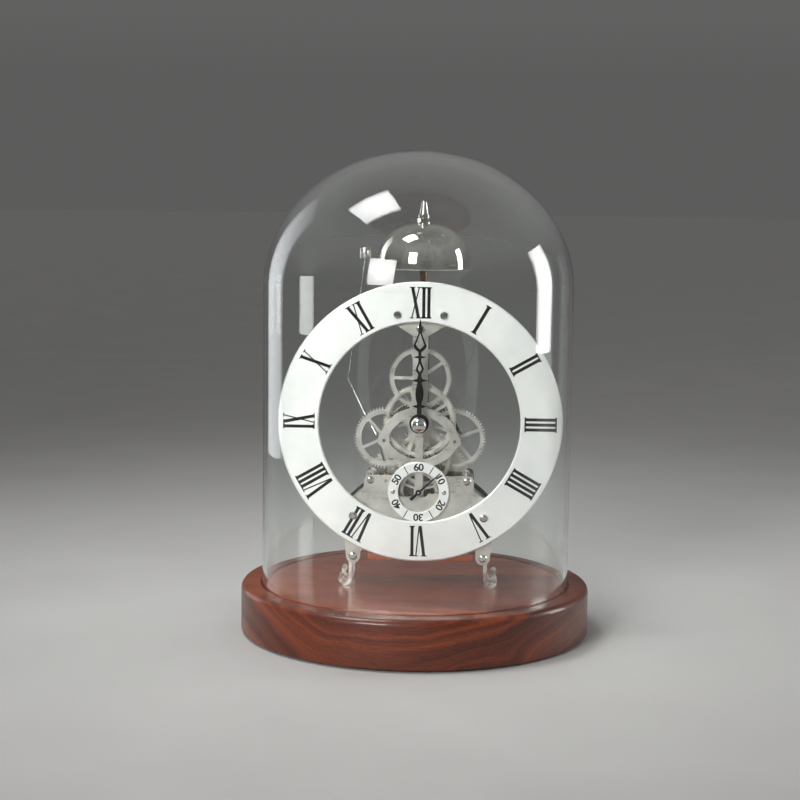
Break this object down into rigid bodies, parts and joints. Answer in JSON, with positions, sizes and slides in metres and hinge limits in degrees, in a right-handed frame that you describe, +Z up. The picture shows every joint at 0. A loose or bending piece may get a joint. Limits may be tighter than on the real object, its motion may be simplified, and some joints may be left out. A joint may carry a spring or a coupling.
{
  "type": "skeleton clock",
  "caption": "Glass-domed mechanical skeleton clock with open dial ring, seconds dial, spring-driven train and passing bell strike on a round wood base.",
  "frame": {"origin": "centre of the underside of the base", "axes": "+Z up, the dial faces -Y, +X to the right of a person who reads the dial"},
  "size_m": [0.18, 0.18, 0.2475],
  "materials": {
    "walnut": "satin lacquer",
    "felt": "felt",
    "dome_glass": "clear",
    "dial_silver": "satin silvered",
    "hand_black": "satin black",
    "nickel_plate": "satin nickel",
    "nickel": "polished nickel",
    "polished_steel": "polished",
    "bell_chrome": "mirror",
    "dark_steel": "dark bronze",
    "brass": "polished",
    "copper": "polished copper",
    "spring_steel": "blued"
  },
  "bodies": {
    "root": {"wood_base": "walnut", "felt_pad": "felt", "chapter_ring": "dial_silver", "dial_spacers": "nickel", "dial_screws": "polished_steel", "seconds_dial": "dial_silver", "seconds_dial_screws": "polished_steel", "front_plate": "nickel_plate", "middle_bridge": "nickel_plate", "rear_plate": "nickel_plate", "plate_pillars": "nickel", "bridge_pillars": "nickel", "plate_screws": "polished_steel", "lower_bar": "copper", "front_legs": "nickel", "rear_legs": "nickel", "leg_screws": "polished_steel", "foot_screws": "polished_steel", "bell_post": "dark_steel", "bell": "bell_chrome", "bell_nut": "bell_chrome", "hammer_spring": "spring_steel", "click_spring": "spring_steel", "minute_stud": "polished_steel"},
    "dome": {"glass_dome": "dome_glass"},
    "centre": {"centre_arbor": "polished_steel", "centre_wheel": "nickel", "cannon_pinion": "polished_steel", "minute_hand": "hand_black", "hand_nut": "bell_chrome"},
    "hour": {"hour_wheel": "nickel", "hour_hand": "hand_black"},
    "minute_work": {"minute_wheel": "nickel", "minute_pinion": "polished_steel"},
    "second": {"second_wheel": "nickel", "second_arbor": "polished_steel"},
    "strike": {"strike_wheel": "nickel", "strike_arbor": "polished_steel", "strike_pins": "polished_steel"},
    "barrel": {"great_wheel": "nickel", "barrel_drum": "nickel_plate", "barrel_cover": "nickel_plate", "mainspring": "spring_steel"},
    "winding": {"barrel_arbor": "polished_steel", "ratchet_wheel": "polished_steel"},
    "click": {"click": "polished_steel"},
    "third": {"third_wheel": "nickel", "third_arbor": "polished_steel"},
    "seconds": {"fourth_wheel": "nickel", "seconds_arbor": "polished_steel", "seconds_hand": "hand_black"},
    "escape": {"escape_wheel": "polished_steel", "escape_arbor": "polished_steel"},
    "pallets": {"pallet_fork": "polished_steel"},
    "balance": {"balance_wheel": "brass", "balance_staff": "polished_steel", "hairspring": "spring_steel"},
    "hammer": {"hammer_arbor": "polished_steel", "hammer_arm": "polished_steel", "hammer_head": "polished_steel"}
  },
  "joints": [
    {"name": "dome_lift", "type": "slide", "parent": "root", "child": "dome", "axis": [0, 0, 1], "range_m": [0, 0.23]},
    {"name": "centre_spin", "type": "hinge", "parent": "root", "child": "centre", "pos_m": [0.002, 0, 0.111], "axis": [0, 1, 0], "continuous": true},
    {"name": "hour_spin", "type": "hinge", "parent": "root", "child": "hour", "pos_m": [0.002, 0, 0.111], "axis": [0, 1, 0], "continuous": true},
    {"name": "minute_wheel_spin", "type": "hinge", "parent": "root", "child": "minute_work", "pos_m": [0.002, 0, 0.1328], "axis": [0, 1, 0], "continuous": true},
    {"name": "second_wheel_spin", "type": "hinge", "parent": "root", "child": "second", "pos_m": [0.0199, 0, 0.1012], "axis": [0, 1, 0], "continuous": true},
    {"name": "strike_wheel_spin", "type": "hinge", "parent": "root", "child": "strike", "pos_m": [-0.0159, 0, 0.1012], "axis": [0, 1, 0], "continuous": true},
    {"name": "barrel_turn", "type": "hinge", "parent": "root", "child": "barrel", "pos_m": [0.002, 0, 0.078], "axis": [0, 1, 0], "continuous": true, "deforming": ["mainspring"]},
    {"name": "winding_turn", "type": "hinge", "parent": "root", "child": "winding", "pos_m": [0.002, 0, 0.078], "axis": [0, 1, 0], "continuous": true},
    {"name": "click_lift", "type": "hinge", "parent": "root", "child": "click", "pos_m": [0.0128, 0, 0.0723], "axis": [0, 1, 0], "range_deg": [0, 12], "stiffness_Nm_per_rad": 0.002, "springref_deg": -14.32, "deforming": ["click_spring"]},
    {"name": "third_wheel_spin", "type": "hinge", "parent": "root", "child": "third", "pos_m": [0.0042, 0, 0.09087], "axis": [0, 1, 0], "continuous": true},
    {"name": "seconds_spin", "type": "hinge", "parent": "root", "child": "seconds", "pos_m": [0.002, 0, 0.0753], "axis": [0, 1, 0], "continuous": true},
    {"name": "escape_spin", "type": "hinge", "parent": "root", "child": "escape", "pos_m": [0.0074, 0, 0.06595], "axis": [0, 1, 0], "continuous": true},
    {"name": "pallet_rock", "type": "hinge", "parent": "root", "child": "pallets", "pos_m": [0.01529, 0, 0.06307], "axis": [0, 1, 0], "range_deg": [-6, 6]},
    {"name": "balance_swing", "type": "hinge", "parent": "root", "child": "balance", "pos_m": [0.02394, 0, 0.05993], "axis": [0, 1, 0], "range_deg": [-150, 150], "stiffness_Nm_per_rad": 0.000013, "deforming": ["hairspring"]},
    {"name": "hammer_lift", "type": "hinge", "parent": "root", "child": "hammer", "pos_m": [-0.0146, 0, 0.0805], "axis": [0, 1, 0], "range_deg": [-10, 1.2], "stiffness_Nm_per_rad": 0.01, "springref_deg": 1.15, "deforming": ["hammer_spring"]}
  ],
  "couplings": [
    {"joint": "hour_spin", "follows": "centre_spin", "ratio": 0.083333},
    {"joint": "minute_wheel_spin", "follows": "centre_spin", "ratio": -0.4},
    {"joint": "second_wheel_spin", "follows": "centre_spin", "ratio": -0.33333},
    {"joint": "strike_wheel_spin", "follows": "centre_spin", "ratio": -0.33333},
    {"joint": "barrel_turn", "follows": "centre_spin", "ratio": 0.05},
    {"joint": "third_wheel_spin", "follows": "centre_spin", "ratio": -8},
    {"joint": "seconds_spin", "follows": "centre_spin", "ratio": 60},
    {"joint": "escape_spin", "follows": "centre_spin", "ratio": -480}
  ]
}
